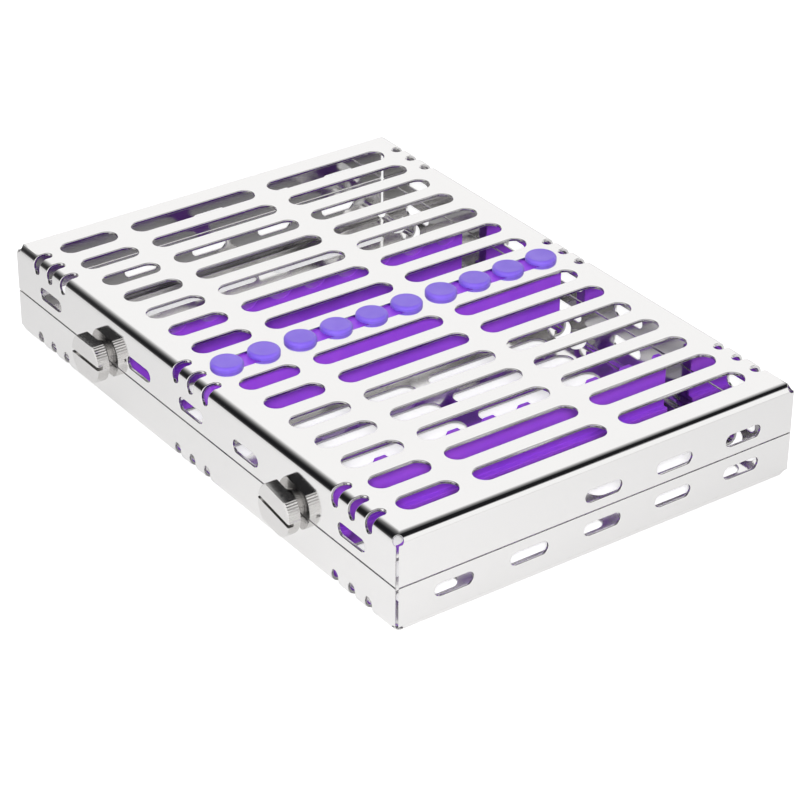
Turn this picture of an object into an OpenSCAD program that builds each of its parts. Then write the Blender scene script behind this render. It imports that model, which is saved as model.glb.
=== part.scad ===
// Perforated dental instrument cassette: a shallow hinged box of bent sheet steel.
// Instruments lie across two silicone rails in the base, a third silicone strip hangs
// from the lid, and two coin-slot thumb screws clamp the rims together.
// The origin is on the table, under the middle of the cassette. X runs along the long
// side, the thumb screws are on the -Y side, the hinges on the +Y side, and Z is up.

/* [Box] */
// Length of the box along X
box_w = 203.2; // [196:0.1:230]
// Depth of the box along Y
box_d = 139.7; // [137:0.1:160]
// Height of the base, from its underside to the seam
base_h = 15; // [13:0.5:20]
// Height of the lid, from the seam to its top face
lid_h = 16; // [14:0.5:22]
// Thickness of the sheet steel
sheet_t = 1; // [0.8:0.1:1.2]
// Outer radius of the bends
bend_r = 3; // [2:0.1:3.2]
// Gap between the rim of the base and the rim of the lid
seam_gap = 0.3; // [0.2:0.1:0.5]
// Width of the open slit in each upright corner
slit_w = 0.8; // [0.4:0.1:1]
// Diameter of the relief hole at the end of each slit
relief_d = 2.9; // [2:0.1:3.4]

/* [Slot grid] */
// Rows of slots along the length of the box
slot_rows = 15; // [9:2:15]
// Distance between the rows
row_pitch = 12.7; // [12:0.1:13.2]
// Width of a slot
slot_w = 7; // [5:0.1:8]
// How far a slot runs past the outermost instrument place that it spans
slot_overhang = 3.35; // [2.8:0.05:4]

/* [Edge slots] */
// Distance from the middle of the box to the outer groups of edge slots
edge_group_x = 80.6; // [76:0.1:84]
// Distance between the slots of a group
edge_pitch = 7.9; // [6:0.1:9]
// Width of an edge slot
edge_w = 3.3; // [2:0.1:4]
// Reach of an edge slot over the flat face, measured from the wall
edge_reach_face = 5.5; // [4:0.1:7]
// Reach of an edge slot over the wall, measured from the flat face
edge_reach_wall = 5.3; // [4:0.1:6]

/* [Wall slots] */
// Length of a wall slot
wall_slot_l = 13; // [8:0.1:16]
// Height of a wall slot
wall_slot_h = 4; // [3:0.1:5]
// Distance between the slots in the short walls
side_slot_pitch = 25.4; // [20:0.1:28]
// Distance from the middle to the second slot of a long wall
wall_slot_x = 28.7; // [26:0.1:30]
// Distance from the seam down to the middle of the slots in the base
base_slot_drop = 5.6; // [4:0.1:7]
// Distance from the seam up to the middle of the slots in the lid
lid_slot_rise = 5.2; // [4:0.1:7]

/* [Silicone strips] */
// Distance between the instrument places
place_pitch = 12.7; // [12:0.1:13.2]
// Distance from the middle of the box to each rail in the base, in row pitches
rail_row = 4; // [3:1:5]
// Thickness of a strip
strip_t = 4; // [3:0.1:5]
// Width of the foot that covers the slots along a strip
foot_w = 7.4; // [6:0.1:7.6]
// Thickness of the foot
foot_t = 1.2; // [0.8:0.1:2]
// Gap between the end of a strip and the wall
strip_end_gap = 4.8; // [3:0.1:6]
// Height of a rail above the floor of the base
rail_h = 17.4; // [16:0.1:22]
// Height of the lid strip below the lid's top sheet
lid_strip_h = 21.6; // [18:0.1:24]
// Width of a notch for one instrument
notch_w = 9; // [6:0.1:10]
// Depth of a notch
notch_depth = 3.2; // [2:0.1:4.4]
// Diameter of the round buttons that hold a strip in its slots
button_d = 9.8; // [7:0.1:11]
// Height of a button
button_h = 1.5; // [1.2:0.1:2.5]
// Radius of a button's edge
button_edge_r = 1; // [0.3:0.1:1.1]
// Diameter of the stem between a button and its strip
stem_d = 5; // [3:0.1:6]

/* [Thumb screws] */
// Distance from the middle of the box to each thumb screw
latch_x = 51; // [48:0.1:58]
// Diameter of the knurled head
head_d = 15.6; // [12:0.1:18]
// Distance across the two flats of the head
head_flats = 12.2; // [9:0.1:15]
// Thickness of the head
head_t = 4; // [3:0.1:6]
// Distance from the wall to the back of the head
head_gap = 1.5; // [1.4:0.1:3]
// Width of the coin slot
coin_w = 1.2; // [0.8:0.1:2]
// Depth of the coin slot
coin_depth = 1.8; // [0.8:0.1:2.4]
// Chamfer around the face of the head
head_chamfer = 0.4; // [0.2:0.1:0.8]
// Distance between the ridges of the knurl
knurl_pitch = 0.8; // [0.7:0.1:1.2]
// Depth of the knurl
knurl_depth = 0.15; // [0.1:0.05:0.4]
// Angle at which the right thumb screw stands
right_head_turn = 9.4; // [0:0.1:90]
// Diameter of the screw's shaft
shaft_d = 5; // [4:0.1:6]
// Travel of the screw when it is turned once
thread_pitch = 0.8; // [0.5:0.1:1]

/* [Hinges] */
// Distance from the middle of the box to each hinge
hinge_x = 51; // [50:0.1:58]
// Width of a hinge leaf
leaf_w = 24; // [20:0.5:26]
// Height of a hinge leaf on its wall
leaf_h = 9; // [7:0.1:10]
// Thickness of a hinge leaf
leaf_t = 1; // [0.8:0.1:1.4]
// Outer diameter of the hinge's knuckles
knuckle_d = 5; // [4.4:0.1:5.6]
// Distance from the rear wall to the hinge axis
hinge_axis_out = 3; // [3:0.05:4]
// Length of each outer knuckle
outer_knuckle_l = 6; // [4:0.1:8]
// Diameter of the hinge pin
pin_d = 2.5; // [2:0.1:3]

/* [Hidden] */
$fn = 64;

// Colours of the materials
steel_colour = [0.84, 0.84, 0.85];
dark_steel_colour = [0.5, 0.5, 0.51];
silicone_colour = [0.48, 0.24, 0.78];

// Heights of the underside, the seam and the top face
under_z = button_h;
seam_z = under_z + base_h;
top_z = seam_z + lid_h;
// Y of the outer faces of the front and rear walls
front_y = -box_d / 2;
rear_y = box_d / 2;
// Length by which a cutting shape runs past the sheet
over = 2;

// Instrument places: two behind the front slots, four behind each of the others
slot_places = [2, 4, 4];
places = 10;
function place_y(i) = (i - (places - 1) / 2) * place_pitch;
// Index of the first place that slot g spans
function first_place(g) = g == 0 ? 0 : first_place(g - 1) + slot_places[g - 1];

// Clearance between parts that turn in each other, measured on the radius
turn_fit = 0.05;
// Clearance between parts that pass each other
pass_gap = 0.3;

// Stations of the thumb screw, measured inwards from the outer face of the front wall
washer_t = 0.6;
bracket_t = 1.2;
nut_t = 1.5;
ring_t = 0.6;
shaft_tail = 0.4;
ring_play = 0.2;
head_back = -head_gap;
washer_out = -pass_gap - washer_t;
bracket_in = sheet_t + pass_gap + bracket_t;
nut_in = bracket_in + nut_t;
ring_out = nut_in + thread_pitch + ring_play;
shaft_end = ring_out + ring_t + shaft_tail;
// Diameters and widths around the shaft
washer_d = 8.8;
collar_d = 8.4;
nut_flats = 8;
ring_d = 7.8;
groove_depth = 0.5;
ring_mouth = 3;
bracket_w = 14;
bracket_drop = 8;
bracket_rise = 5;
// Half-round openings in both rims, around the shaft
rim_notch_r = shaft_d / 2 + pass_gap;
// Room between the end of the shaft and the rail behind it
tail_room = 1.5;

// Hinge
hinge_y = rear_y + hinge_axis_out;
knuckle_r = knuckle_d / 2;
pin_head_d = 3.8;
pin_head_t = 0.6;

// Long hole of length l along the second axis and width w
module long_hole(l, w) {
    square([w, l - w], center = true);
    for (s = [-1, 1]) translate([0, s * (l - w) / 2]) circle(d = w);
}

// Cross-section of a solid tray of width w and height h with round lower edges
module tray_outline(w, h, r) {
    translate([-w / 2, r]) square([w, h - r]);
    translate([r - w / 2, 0]) square([w - 2 * r, h]);
    for (s = [-1, 1]) translate([s * (w / 2 - r), r]) circle(r);
}

// Solid tray: both cross-sections at once
module tray_block(w, d, h, r) {
    intersection() {
        rotate([90, 0, 0]) linear_extrude(d, center = true) tray_outline(w, h, r);
        rotate([90, 0, 90]) linear_extrude(w, center = true) tray_outline(d, h, r);
    }
}

// Rows of long slots through the flat face of a tray
module face_slots() {
    translate([0, 0, -over]) linear_extrude(sheet_t + 2 * over)
        for (r = [0 : slot_rows - 1], g = [0 : len(slot_places) - 1]) {
            n = slot_places[g];
            first = place_y(first_place(g));
            last = place_y(first_place(g) + n - 1);
            translate([(r - (slot_rows - 1) / 2) * row_pitch, (first + last) / 2])
                long_hole(last - first + 2 * slot_overhang, slot_w);
        }
}

// Short slots that run over the bends along both long walls
module edge_slots() {
    face_l = edge_reach_face + over;
    wall_l = edge_reach_wall + over;
    for (s = [-1, 1], g = [-1 : 1], k = [-1 : 1])
        translate([g * edge_group_x + k * edge_pitch, s * box_d / 2, 0]) {
            translate([0, s * (over - edge_reach_face) / 2, -over])
                linear_extrude(over + bend_r) long_hole(face_l, edge_w);
            translate([0, 0, (edge_reach_wall - over) / 2])
                rotate([90, 0, 0]) linear_extrude(2 * bend_r, center = true)
                    long_hole(wall_l, edge_w);
        }
}

// Slot along a long wall, at x and at height z above the flat face
module long_wall_slot(x, z, side) {
    translate([x, side * box_d / 2, z]) rotate([90, 90, 0])
        linear_extrude(2 * over, center = true) long_hole(wall_slot_l, wall_slot_h);
}

// Slot along a short wall, at y and at height z above the flat face
module short_wall_slot(y, z, side) {
    translate([side * box_w / 2, y, z]) rotate([0, 90, 0])
        linear_extrude(2 * over, center = true) long_hole(wall_slot_l, wall_slot_h);
}

// Open slit in each upright corner. The relief hole at its end lies over both bends and
// points at the sharp corner that the bends round off.
module corner_slits(h) {
    for (sx = [-1, 1], sy = [-1, 1])
        translate([sx * box_w / 2, sy * box_d / 2, 0]) rotate([0, 0, sx * sy * 45]) {
            translate([-2 * bend_r, -slit_w / 2, bend_r / 2]) cube([4 * bend_r, slit_w, h]);
            rotate([0, -sx * 45, 0]) cylinder(d = relief_d, h = 4 * bend_r, center = true);
        }
}

// Half-round openings for the two thumb screws, in the rim at height h
module rim_notches(h) {
    for (s = [-1, 1]) translate([s * latch_x, front_y, h])
        rotate([90, 0, 0]) cylinder(r = rim_notch_r, h = 2 * over, center = true);
}

// Tray of bent sheet with its flat face at z = 0 and its rim h above it
module tray(h) {
    rim = h - seam_gap / 2;
    difference() {
        tray_block(box_w, box_d, rim, bend_r);
        translate([0, 0, sheet_t])
            tray_block(box_w - 2 * sheet_t, box_d - 2 * sheet_t, rim, bend_r - sheet_t);
        face_slots();
        edge_slots();
        corner_slits(h);
        rim_notches(h);
    }
}

// Base: five slots in each short wall and five in the rear wall; its front wall is plain
module base_shell() {
    z = base_h - base_slot_drop;
    color(steel_colour) translate([0, 0, under_z]) difference() {
        tray(base_h);
        for (s = [-1, 1], k = [-2 : 2]) short_wall_slot(k * side_slot_pitch, z, s);
        for (x = [-edge_group_x, -wall_slot_x, 0, wall_slot_x, edge_group_x])
            long_wall_slot(x, z, 1);
    }
}

// Lid: three slots in each short wall, towards the hinges, and five in each long wall
module lid_shell() {
    z = lid_h - lid_slot_rise;
    color(steel_colour) translate([0, 0, top_z]) mirror([0, 0, 1]) difference() {
        tray(lid_h);
        for (s = [-1, 1], k = [0 : 2]) short_wall_slot(k * side_slot_pitch, z, s);
        for (s = [-1, 1], x = [-edge_group_x, -wall_slot_x, 0, wall_slot_x, edge_group_x])
            long_wall_slot(x, z, s);
    }
}

// Round button with a soft edge, standing on z = 0, and the stem below it
module button() {
    inner = button_d / 2 - button_edge_r;
    rotate_extrude() {
        square([button_d / 2, button_h - button_edge_r]);
        square([inner, button_h]);
        translate([inner, button_h - button_edge_r]) intersection() {
            circle(button_edge_r);
            square(button_edge_r);
        }
    }
    translate([0, 0, -sheet_t]) cylinder(d = stem_d, h = sheet_t);
}

// Silicone strip of height h along Y: it hangs from a wider foot below z = -sheet_t, has a
// notch for each instrument in its lower edge, and its buttons stand on z = 0
module strip(h) {
    l = box_d - 2 * (sheet_t + strip_end_gap);
    // The radius of the arc that is notch_w wide and notch_depth deep
    r = (pow(notch_w / 2, 2) + pow(notch_depth, 2)) / (2 * notch_depth);
    rotate([90, 0, 90]) linear_extrude(strip_t, center = true) difference() {
        translate([-l / 2, -sheet_t - h]) square([l, h]);
        for (i = [0 : places - 1])
            translate([place_y(i), notch_depth - r - sheet_t - h]) circle(r);
    }
    translate([-foot_w / 2, -l / 2, -sheet_t - foot_t]) cube([foot_w, l, foot_t]);
    for (i = [0 : places - 1]) translate([0, place_y(i), 0]) button();
}

module lid_strip() {
    color(silicone_colour) translate([0, 0, top_z]) strip(lid_strip_h);
}

// Rail: a strip turned over, with its buttons as feet. Its front end is stepped down
// below the end of the thumb screw.
module base_rail(side) {
    color(silicone_colour) translate([side * rail_row * row_pitch, 0, 0]) difference() {
        translate([0, 0, under_z]) mirror([0, 0, 1]) strip(rail_h);
        translate([-strip_t, front_y, seam_z - ring_d / 2 - 2 * pass_gap])
            cube([2 * strip_t, shaft_end + tail_room, rail_h]);
    }
}
module base_rail_left() { base_rail(-1); }
module base_rail_right() { base_rail(1); }

// Side view of a knuckle with its rolled root, about the hinge axis; up is 1 for the lid
module knuckle_profile(up) {
    circle(knuckle_r);
    polygon([for (p = [[-hinge_axis_out, seam_gap / 2], [0, seam_gap / 2], [0, knuckle_r],
                       [leaf_t - hinge_axis_out, 2.2 * knuckle_r],
                       [-hinge_axis_out, 2.2 * knuckle_r]]) [p[0], up * p[1]]]);
}

// Hinge leaf on the rear wall, with a knuckle over each [start, end] stretch along X
module hinge_leaf(side, up, stretches) {
    clear_z = knuckle_r + pass_gap;
    plate_z = up > 0 ? clear_z : -leaf_h - clear_z;
    color(steel_colour) translate([side * hinge_x, hinge_y, seam_z]) difference() {
        union() {
            translate([-leaf_w / 2, -hinge_axis_out, plate_z]) cube([leaf_w, leaf_t, leaf_h]);
            for (s = stretches) translate([s[0], 0, 0]) rotate([90, 0, 90])
                linear_extrude(s[1] - s[0]) knuckle_profile(up);
        }
        rotate([0, 90, 0]) cylinder(r = pin_d / 2 + turn_fit, h = 2 * leaf_w, center = true);
    }
}
module hinge_base_leaf(side) {
    hinge_leaf(side, -1, [[-leaf_w / 2, outer_knuckle_l - leaf_w / 2],
                          [leaf_w / 2 - outer_knuckle_l, leaf_w / 2]]);
}
module hinge_lid_leaf(side) {
    half = leaf_w / 2 - outer_knuckle_l - pass_gap;
    hinge_leaf(side, 1, [[-half, half]]);
}
module hinge_left_base_leaf() { hinge_base_leaf(-1); }
module hinge_right_base_leaf() { hinge_base_leaf(1); }
module hinge_left_lid_leaf() { hinge_lid_leaf(-1); }
module hinge_right_lid_leaf() { hinge_lid_leaf(1); }

// Hinge pin, its ends peened over the outer knuckles
module hinge_pin(side) {
    color(dark_steel_colour) translate([side * hinge_x, hinge_y, seam_z]) rotate([0, 90, 0]) {
        cylinder(d = pin_d, h = leaf_w + 2 * pin_head_t, center = true);
        for (s = [-1, 1]) translate([0, 0, s * (leaf_w + pin_head_t) / 2])
            cylinder(d = pin_head_d, h = pin_head_t, center = true);
    }
}
module hinge_left_pin() { hinge_pin(-1); }
module hinge_right_pin() { hinge_pin(1); }

// Place on the axis of a thumb screw, with +Z inwards and z = 0 on the wall's outer face
module on_latch(side) {
    translate([side * latch_x, front_y, seam_z]) rotate([-90, 0, 0]) children();
}

// Outline of the head: a knurled circle with two flats
module head_outline() {
    ridges = round(PI * head_d / knurl_pitch);
    intersection() {
        polygon([for (i = [0 : 2 * ridges - 1])
            (head_d / 2 - (i % 2) * knurl_depth) * [cos(180 * i / ridges), sin(180 * i / ridges)]]);
        square([2 * head_d, head_flats], center = true);
    }
}

// Thumb screw: knurled head with coin slot, collar, shaft and a groove for its ring
module latch_knob(side) {
    turn = side > 0 ? right_head_turn : 0;
    face = head_back - head_t;
    color(dark_steel_colour) on_latch(side) rotate([0, 0, turn]) {
        difference() {
            intersection() {
                translate([0, 0, face]) linear_extrude(head_t) head_outline();
                translate([0, 0, face]) cylinder(r1 = head_d / 2 - head_chamfer,
                                                 r2 = head_d / 2 - head_chamfer + head_t, h = head_t);
            }
            translate([-head_d, -coin_w / 2, face - over]) cube([2 * head_d, coin_w, over + coin_depth]);
        }
        translate([0, 0, head_back]) cylinder(d = collar_d, h = washer_out - turn_fit - head_back);
        difference() {
            translate([0, 0, head_back]) cylinder(d = shaft_d, h = shaft_end - head_back);
            translate([0, 0, ring_out]) difference() {
                cylinder(d = 2 * shaft_d, h = ring_t);
                cylinder(d = shaft_d - 2 * groove_depth, h = ring_t);
            }
        }
    }
}
module latch_left_knob() { latch_knob(-1); }
module latch_right_knob() { latch_knob(1); }

// Washer that the screw presses against both rims
module latch_washer(side) {
    color(steel_colour) on_latch(side) translate([0, 0, washer_out]) difference() {
        cylinder(d = washer_d, h = washer_t);
        translate([0, 0, -over]) cylinder(r = shaft_d / 2 + turn_fit, h = washer_t + 2 * over);
    }
}
module latch_left_washer() { latch_washer(-1); }
module latch_right_washer() { latch_washer(1); }

// Bracket behind the front wall: welded to the base, it stands up behind the lid's rim
module latch_bracket(side) {
    color(steel_colour) on_latch(side) difference() {
        union() {
            translate([-bracket_w / 2, -bracket_rise, sheet_t + pass_gap])
                cube([bracket_w, bracket_rise + bracket_drop, bracket_t]);
            translate([-bracket_w / 2, rim_notch_r, sheet_t])
                cube([bracket_w, bracket_drop - rim_notch_r, bracket_t]);
        }
        cylinder(r = rim_notch_r, h = 4 * bracket_in, center = true);
    }
}
module latch_left_bracket() { latch_bracket(-1); }
module latch_right_bracket() { latch_bracket(1); }

// Thin hexagon nut, welded to the bracket
module latch_nut(side) {
    color(dark_steel_colour) on_latch(side) translate([0, 0, bracket_in]) difference() {
        cylinder(r = nut_flats / 2 / cos(30), h = nut_t, $fn = 6);
        translate([0, 0, -over]) cylinder(r = shaft_d / 2 + turn_fit, h = nut_t + 2 * over);
    }
}
module latch_left_nut() { latch_nut(-1); }
module latch_right_nut() { latch_nut(1); }

// Open ring in the groove of the shaft, which keeps the screw in its nut
module latch_ring(side) {
    color(dark_steel_colour) on_latch(side) translate([0, 0, ring_out]) difference() {
        cylinder(d = ring_d, h = ring_t);
        translate([0, 0, -over]) cylinder(d = shaft_d - 2 * groove_depth, h = ring_t + 2 * over);
        translate([-ring_mouth / 2, 0, -over]) cube([ring_mouth, ring_d, ring_t + 2 * over]);
    }
}
module latch_left_ring() { latch_ring(-1); }
module latch_right_ring() { latch_ring(1); }

base_shell();
lid_shell();
base_rail_left();
base_rail_right();
lid_strip();
hinge_left_base_leaf();
hinge_right_base_leaf();
hinge_left_lid_leaf();
hinge_right_lid_leaf();
hinge_left_pin();
hinge_right_pin();
latch_left_knob();
latch_right_knob();
latch_left_washer();
latch_right_washer();
latch_left_bracket();
latch_right_bracket();
latch_left_nut();
latch_right_nut();
latch_left_ring();
latch_right_ring();
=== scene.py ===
import math

import bmesh
import bpy
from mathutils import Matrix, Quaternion, Vector


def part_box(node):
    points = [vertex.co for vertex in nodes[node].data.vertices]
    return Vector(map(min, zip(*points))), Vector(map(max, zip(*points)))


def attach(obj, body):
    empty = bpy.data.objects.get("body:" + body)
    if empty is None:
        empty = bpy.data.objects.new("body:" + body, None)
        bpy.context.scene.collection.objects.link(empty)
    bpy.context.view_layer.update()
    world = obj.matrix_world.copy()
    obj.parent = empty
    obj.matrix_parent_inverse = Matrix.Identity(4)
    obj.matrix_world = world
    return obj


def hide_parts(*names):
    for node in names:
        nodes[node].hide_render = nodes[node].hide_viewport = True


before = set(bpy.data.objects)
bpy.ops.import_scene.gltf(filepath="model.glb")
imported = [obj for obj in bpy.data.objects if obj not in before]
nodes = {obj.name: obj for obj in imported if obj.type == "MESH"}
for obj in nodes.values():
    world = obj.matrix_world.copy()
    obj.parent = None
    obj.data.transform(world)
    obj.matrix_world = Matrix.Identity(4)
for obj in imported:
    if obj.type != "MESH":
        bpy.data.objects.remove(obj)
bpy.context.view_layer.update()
MM = 0.001


# Sheet-steel trays: base and lid are folded from 1 mm stainless sheet, laser-cut with rows of
# long slots and polished to a mirror. The cut faces are a little duller, their edges broken.
SHEET = 1.0 * MM
BEND = 3.0 * MM
EDGE_BREAK = 0.25 * MM
SHARP_ANGLE = math.radians(40)
FLAT_ANGLE = math.radians(0.3)
MERGE_DISTANCE = 0.001 * MM
NOISE_RANGE = (0.3, 0.7)
STEEL_TINT = (0.82, 0.812, 0.805, 1)
CUT_TINT = (0.74, 0.73, 0.73, 1)


def object_noise(tree, scale, detail=2.0, stretch=(1, 1, 1)):
    """Noise in the piece's own coordinates, squeezed along each axis by the numbers in stretch."""
    place = tree.nodes.new("ShaderNodeTexCoord")
    mapping = tree.nodes.new("ShaderNodeMapping")
    mapping.inputs["Scale"].default_value = stretch
    noise = tree.nodes.new("ShaderNodeTexNoise")
    noise.inputs["Scale"].default_value = scale
    noise.inputs["Detail"].default_value = detail
    tree.links.new(place.outputs["Object"], mapping.inputs["Vector"])
    tree.links.new(mapping.outputs["Vector"], noise.inputs["Vector"])
    return noise.outputs["Fac"]


def spread(tree, noise, low, high):
    """Spreads a noise's usual range over low to high."""
    ramp = tree.nodes.new("ShaderNodeMapRange")
    ramp.inputs["From Min"].default_value = NOISE_RANGE[0]
    ramp.inputs["From Max"].default_value = NOISE_RANGE[1]
    ramp.inputs["To Min"].default_value = low
    ramp.inputs["To Max"].default_value = high
    tree.links.new(noise, ramp.inputs["Value"])
    return ramp.outputs["Result"]


def raised(tree, height, depth, below=None):
    """Bump of the given depth in metres, laid over another one."""
    bump = tree.nodes.new("ShaderNodeBump")
    bump.inputs["Strength"].default_value = 1.0
    bump.inputs["Distance"].default_value = depth
    tree.links.new(height, bump.inputs["Height"])
    if below is not None:
        tree.links.new(below, bump.inputs["Normal"])
    return bump.outputs["Normal"]


def plain_material(name, colour, metallic, roughness):
    """A Principled material and its node tree."""
    material = bpy.data.materials.new(name)
    material.use_nodes = True
    shader = material.node_tree.nodes["Principled BSDF"]
    shader.inputs["Base Color"].default_value = colour
    shader.inputs["Metallic"].default_value = metallic
    shader.inputs["Roughness"].default_value = roughness
    return material, material.node_tree, shader


def mirror_polished_steel():
    """Mirror finish with faint polishing lines along X, patchy haze, and a sheet not quite flat."""
    material, tree, shader = plain_material("mirror_polished_steel", STEEL_TINT, 1.0, 0.08)
    haze = object_noise(tree, scale=45, detail=3.0)
    tree.links.new(spread(tree, haze, low=0.05, high=0.13), shader.inputs["Roughness"])
    waves = object_noise(tree, scale=38, detail=1.0)
    lines = object_noise(tree, scale=900, stretch=(1, 22, 22))
    wavy = raised(tree, waves, depth=0.02 * MM)
    lined = raised(tree, lines, depth=0.001 * MM, below=wavy)
    tree.links.new(lined, shader.inputs["Normal"])
    return material


def cut_edge_steel():
    """Laser-cut face in the sheet's thickness, with fine stripes across it."""
    material, tree, shader = plain_material("cut_edge_steel", CUT_TINT, 1.0, 0.18)
    stripes = object_noise(tree, scale=2500, stretch=(1, 1, 0.15))
    tree.links.new(spread(tree, stripes, low=0.12, high=0.24), shader.inputs["Roughness"])
    tree.links.new(raised(tree, stripes, depth=0.002 * MM), shader.inputs["Normal"])
    return material


def depth_in_sheet(point, corner, face_z):
    """How far a point lies below a tray's outer skin, from its walls' corner and its face's Z."""
    down = abs(point.z - face_z)
    depths = []
    for across, wall in ((abs(point.x), corner.x), (abs(point.y), corner.y)):
        inwards = wall - across
        if inwards < BEND and down < BEND:
            depths.append(BEND - math.hypot(BEND - inwards, BEND - down))
        else:
            depths.append(min(inwards, down))
    return min(depths)


def merged_copy(node, name):
    """A new object with a CAD node's mesh, its triangles joined into clean faces."""
    mesh = nodes[node].data.copy()
    piece = bpy.data.objects.new(name, mesh)
    bpy.context.collection.objects.link(piece)
    bm = bmesh.new()
    bm.from_mesh(mesh)
    bmesh.ops.remove_doubles(bm, verts=bm.verts, dist=MERGE_DISTANCE)
    bmesh.ops.dissolve_limit(bm, angle_limit=FLAT_ANGLE, verts=bm.verts, edges=bm.edges,
                             use_dissolve_boundaries=False, delimit=set())
    for face in bm.faces:
        face.material_index = 0
    mesh.materials.clear()
    return piece, mesh, bm


def round_edges(bm, width, stays_sharp=lambda edge: False):
    """Rounds off sharp edges, except beside an edge too short for it, and returns the new faces."""
    sharp = {edge for edge in bm.edges
             if len(edge.link_faces) == 2 and edge.calc_face_angle() > SHARP_ANGLE}
    tight = {vertex for edge in bm.edges if edge not in sharp and edge.calc_length() < width
             for vertex in edge.verts}
    chosen = [edge for edge in bm.edges
              if edge in sharp and not tight.intersection(edge.verts) and not stays_sharp(edge)]
    rounded = bmesh.ops.bevel(bm, geom=chosen, offset=width, offset_type="OFFSET", segments=3,
                              profile=0.5, affect="EDGES", clamp_overlap=False, material=-1)
    return rounded["faces"]


def finished_piece(piece, mesh, bm, materials, body, node):
    """Writes the mesh back, shades its flat faces flat and puts the piece in the node's place."""
    for face in bm.faces:
        face.smooth = True
    for edge in bm.edges:
        edge.smooth = edge.calc_face_angle(0) < SHARP_ANGLE
    bm.to_mesh(mesh)
    bm.free()
    for material in materials:
        mesh.materials.append(material)
    flat = piece.modifiers.new("flat_faces", "WEIGHTED_NORMAL")
    flat.keep_sharp = True
    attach(piece, body)
    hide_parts(node)


def sheet_piece(node, name, body, face_z):
    """The folded sheet of a tray: polished skins and broken edges, and duller cut faces."""
    piece, mesh, bm = merged_copy(node, name)
    corner = Vector(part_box(node)[1])
    for face in bm.faces:
        depths = [depth_in_sheet(vertex.co, corner, face_z) for vertex in face.verts]
        if min(depths) < SHEET / 2 < max(depths):
            face.material_index = 1
    for face in round_edges(bm, EDGE_BREAK):
        face.material_index = 0
    finished_piece(piece, mesh, bm, (sheet_steel, cut_steel), body, node)


sheet_steel = mirror_polished_steel()
cut_steel = cut_edge_steel()
base_face_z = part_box("base_shell")[0][2]
lid_face_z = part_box("lid_shell")[1][2]
sheet_piece("base_shell", "base_sheet", "base", base_face_z)
sheet_piece("lid_shell", "lid_sheet", "lid", lid_face_z)


# Silicone strips: moulded in one piece with the round buttons that hold them in the slots.
# The rubber is satin and slightly translucent. Strips and buttons are one silicone painted in two
# colours for light and shade: the strips inside the trays get a brighter, deeper purple as painted
# light that makes up for the shade there, and the buttons outside a paler purple as painted sheen.
# Painted light: the strip colours are brightened for the shade inside the trays, and the button
# colours are paled as painted sheen. The second of each pair is its lighter random patch.
STRIP_PURPLE_PAINTED_LIGHT = (0.35, 0.06, 0.86, 1)
STRIP_PATCH_PAINTED_LIGHT = (0.41, 0.075, 0.90, 1)
BUTTON_PURPLE_PAINTED_SHEEN = (0.20, 0.10, 0.74, 1)
BUTTON_PATCH_PAINTED_SHEEN = (0.24, 0.13, 0.80, 1)
MOULDED_EDGE = 0.35 * MM
LEVEL_TOLERANCE = 0.01 * MM


def mixed(tree, fac, first, second):
    """The first colour where fac is 0, the second where it is 1. Either may be a socket."""
    mix = tree.nodes.new("ShaderNodeMixRGB")
    tree.links.new(fac, mix.inputs["Fac"])
    for colour, end in ((first, mix.inputs["Color1"]), (second, mix.inputs["Color2"])):
        if isinstance(colour, tuple):
            end.default_value = colour
        else:
            tree.links.new(colour, end)
    return mix.outputs["Color"]


def satin_silicone(name, colour, lighter):
    """Dyed silicone rubber with a fine moulded grain."""
    material, tree, shader = plain_material(name, colour, 0.0, 0.42)
    shader.inputs["Specular IOR Level"].default_value = 0.9
    shader.inputs["Sheen Weight"].default_value = 0.12
    shader.inputs["Subsurface Weight"].default_value = 0.15
    shader.inputs["Subsurface Radius"].default_value = (0.0008, 0.0004, 0.0016)
    patches = spread(tree, object_noise(tree, scale=120, detail=3.0), low=0, high=1)
    tree.links.new(mixed(tree, patches, colour, lighter), shader.inputs["Base Color"])
    wear = spread(tree, object_noise(tree, scale=260), low=0.36, high=0.5)
    tree.links.new(wear, shader.inputs["Roughness"])
    grain = raised(tree, object_noise(tree, scale=3500), depth=0.01 * MM)
    tree.links.new(grain, shader.inputs["Normal"])
    return material


def silicone_piece(node, name, body, sheet_z, outwards):
    """A strip whose buttons stand outwards (1 up, -1 down) from the sheet's face at sheet_z."""
    piece, mesh, bm = merged_copy(node, name)

    def beyond(vertices, level):
        """Whether all vertices lie as far out from the sheet's face as the level, or farther."""
        nearest = min((vertex.co.z - sheet_z) * outwards for vertex in vertices)
        return nearest > level - LEVEL_TOLERANCE

    # Faces out past the sheet's face take the button colour with its painted sheen; the rest keep
    # the strip colour with its painted light.
    for face in bm.faces:
        if beyond(face.verts, 0):
            face.material_index = 1
    round_edges(bm, MOULDED_EDGE, lambda edge: beyond(edge.verts, -SHEET))
    finished_piece(piece, mesh, bm, (strip_rubber_painted_light, button_rubber_painted_sheen), body, node)


# Two copies of one silicone: the strip material carries painted light for the shade inside, and the
# button material carries painted sheen.
strip_rubber_painted_light = satin_silicone("strip_rubber_painted_light", STRIP_PURPLE_PAINTED_LIGHT, STRIP_PATCH_PAINTED_LIGHT)
button_rubber_painted_sheen = satin_silicone("button_rubber_painted_sheen", BUTTON_PURPLE_PAINTED_SHEEN, BUTTON_PATCH_PAINTED_SHEEN)
silicone_piece("base_rail_left", "left_rail", "base", base_face_z, -1)
silicone_piece("base_rail_right", "right_rail", "base", base_face_z, -1)
silicone_piece("lid_strip", "hold_down_strip", "lid", lid_face_z, 1)


# Hinges and thumb screws: turned stainless steel, the hinge leaves and brackets of the same
# polished sheet as the trays. These are the CAD's own pieces, and only their finish is set.
TURNED_TINT = (0.72, 0.71, 0.70, 1)


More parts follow.
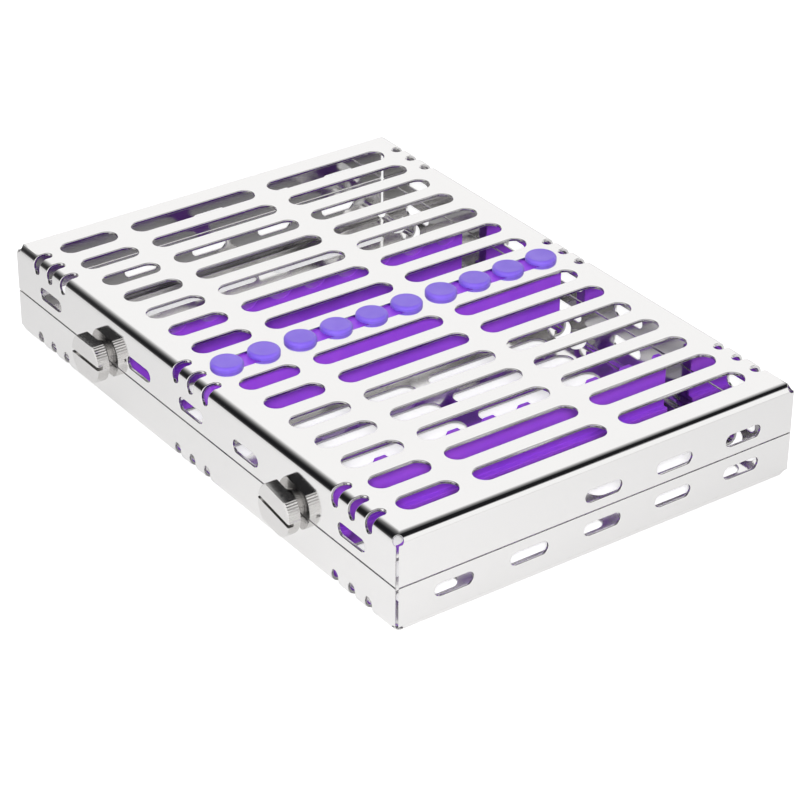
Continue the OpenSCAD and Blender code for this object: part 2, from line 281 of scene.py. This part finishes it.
def turned_steel():
    """Bright turned steel with fine tool marks."""
    material, tree, shader = plain_material("turned_steel", TURNED_TINT, 1.0, 0.2)
    marks = object_noise(tree, scale=1500)
    tree.links.new(spread(tree, marks, low=0.15, high=0.26), shader.inputs["Roughness"])
    tree.links.new(raised(tree, marks, depth=0.0015 * MM), shader.inputs["Normal"])
    return material


turned = turned_steel()
for name, thing in nodes.items():
    if name.startswith(("hinge_", "latch_")):
        folded = "leaf" in name or "bracket" in name
        thing.data.materials[0] = sheet_steel if folded else turned


# Studio: a white sweep behind the camera and behind the cassette, black flags on the two sides
# between, which draw the dark lines along the bends, a pale floor and soft lamps.
FLOOR_SIZE = 6.0
FLOOR_PAINT = (0.88, 0.88, 0.88, 1)
WHITE = (1, 1, 1, 1)
FLAG_BLACK = (0.012, 0.012, 0.014, 1)
ROOM_LIGHT = (0.40, 0.40, 0.405, 1)
# The floor's own light, as the camera sees it and as the polished steel does
CAMERA_LIFT = 0.5
MIRROR_LIFT = 0.08
# The sweep's brightness, and its shade at each sine of the height above the horizon
SWEEP_LEVEL = 1.1
SWEEP_STOPS = ((0.56, 1.0), (0.80, 0.45), (0.93, 0.45), (0.98, 0.85))
SWEEP_TOP = (0.85, 0.85, 0.85, 1)
# How far the flags close over the top and lean to the back, how their lower edges rise towards
# +X and +Y, and the softness of both edges
FLAG_CLOSE = 0.45
FLAG_LEAN = 0.17
FLAG_SLANT = -0.232
FLAG_SIDE = (0.08, 0.50)
FLAG_FOOT = (0.30, 0.46)


def scaled(tree, value, factor):
    """A socket's value times a number."""
    product = tree.nodes.new("ShaderNodeMath")
    product.operation = "MULTIPLY"
    product.inputs[1].default_value = factor
    tree.links.new(value, product.inputs[0])
    return product.outputs[0]


def combined(tree, operation, first, second):
    """Two sockets joined by one math operation."""
    result = tree.nodes.new("ShaderNodeMath")
    result.operation = operation
    tree.links.new(first, result.inputs[0])
    tree.links.new(second, result.inputs[1])
    return result.outputs[0]


def soft_step(tree, value, start, end):
    """0 below start, 1 above end, and a smooth step between."""
    step = tree.nodes.new("ShaderNodeMapRange")
    step.interpolation_type = "SMOOTHSTEP"
    step.inputs["From Min"].default_value = start
    step.inputs["From Max"].default_value = end
    tree.links.new(value, step.inputs["Value"])
    return step.outputs["Result"]


def seen_in_steel(tree, path):
    """1 for rays that a mirror or glass sends on, 0 for all others."""
    glossy = path.outputs["Is Glossy Ray"]
    return combined(tree, "MAXIMUM", glossy, path.outputs["Is Transmission Ray"])


floor_mesh = bpy.data.meshes.new("floor")
bm = bmesh.new()
bmesh.ops.create_grid(bm, x_segments=1, y_segments=1, size=FLOOR_SIZE / 2)
bm.to_mesh(floor_mesh)
bm.free()
floor = bpy.data.objects.new("floor", floor_mesh)
bpy.context.collection.objects.link(floor)
floor_paint, tree, shader = plain_material("floor_paint", FLOOR_PAINT, 0.0, 0.9)
shader.inputs["Specular IOR Level"].default_value = 0.0
shader.inputs["Emission Color"].default_value = WHITE
path = tree.nodes.new("ShaderNodeLightPath")
lift = combined(tree, "MAXIMUM", scaled(tree, path.outputs["Is Camera Ray"], CAMERA_LIFT),
                scaled(tree, seen_in_steel(tree, path), MIRROR_LIFT))
tree.links.new(lift, shader.inputs["Emission Strength"])
floor_mesh.materials.append(floor_paint)

world = bpy.data.worlds.new("studio")
bpy.context.scene.world = world
world.use_nodes = True
tree = world.node_tree
tree.nodes.clear()
where = tree.nodes.new("ShaderNodeTexCoord")
split = tree.nodes.new("ShaderNodeSeparateXYZ")
tree.links.new(where.outputs["Generated"], split.inputs[0])
x, y, z = split.outputs["X"], split.outputs["Y"], split.outputs["Z"]
sweep = tree.nodes.new("ShaderNodeValToRGB")
tree.links.new(z, sweep.inputs["Fac"])
for place, shade in SWEEP_STOPS:
    stop = sweep.color_ramp.elements.new(place)
    stop.color = (shade, shade, shade, 1)
sweep.color_ramp.elements[0].color = WHITE
sweep.color_ramp.elements[-1].color = SWEEP_TOP
# The flags fill the quadrants where X and Y have the same sign
flag_height = combined(tree, "ADD", scaled(tree, z, FLAG_CLOSE), scaled(tree, y, FLAG_LEAN))
flag_reach = combined(tree, "ADD", combined(tree, "MULTIPLY", x, y), flag_height)
flag_foot = combined(tree, "ADD", z, scaled(tree, combined(tree, "ADD", x, y), FLAG_SLANT))
flags = combined(tree, "MULTIPLY", soft_step(tree, flag_reach, *FLAG_SIDE),
                 soft_step(tree, flag_foot, *FLAG_FOOT))
reflected = mixed(tree, flags, scaled(tree, sweep.outputs["Color"], SWEEP_LEVEL), FLAG_BLACK)
path = tree.nodes.new("ShaderNodeLightPath")
lit = mixed(tree, seen_in_steel(tree, path), ROOM_LIGHT, reflected)
shown = mixed(tree, path.outputs["Is Camera Ray"], lit, WHITE)
back = tree.nodes.new("ShaderNodeBackground")
tree.links.new(shown, back.inputs["Color"])
out = tree.nodes.new("ShaderNodeOutputWorld")
tree.links.new(back.outputs["Background"], out.inputs["Surface"])


def soft_box(name, place, size, power):
    """Square area lamp that faces the cassette."""
    lamp = bpy.data.lights.new(name, "AREA")
    lamp.shape = "SQUARE"
    lamp.size = size
    lamp.energy = power
    holder = bpy.data.objects.new(name, lamp)
    bpy.context.collection.objects.link(holder)
    holder.location = place
    holder.visible_glossy = False
    holder.rotation_mode = "QUATERNION"
    holder.rotation_quaternion = (-Vector(place)).to_track_quat("-Z", "Y")


# The front lamp stands behind the camera, so it lights what the camera sees through the slots
soft_box("front_light", place=(0.80, -0.57, 0.61), size=0.10, power=10.9)
soft_box("top_light", place=(-0.15, -0.30, 1.2), size=0.9, power=2.0)

# Camera where the photograph was taken from, with its lens and sensor in millimetres
LENS = 126.93
SENSOR = 36
CAMERA_PLACE = Vector((597.203, -428.004, 435.233)) * MM
LOOKING = Vector((-0.69764, 0.50494, -0.50827))
ROLL = math.radians(0.483)
camera_data = bpy.data.cameras.new("camera")
camera_data.lens = LENS
camera_data.sensor_width = SENSOR
camera_data.clip_start = 10 * MM
camera = bpy.data.objects.new("camera", camera_data)
bpy.context.collection.objects.link(camera)
camera.location = CAMERA_PLACE
camera.rotation_mode = "QUATERNION"
camera.rotation_quaternion = LOOKING.to_track_quat("-Z", "Y") @ Quaternion((0, 0, 1), ROLL)
bpy.context.scene.camera = camera
bpy.context.scene.view_settings.view_transform = "Standard"
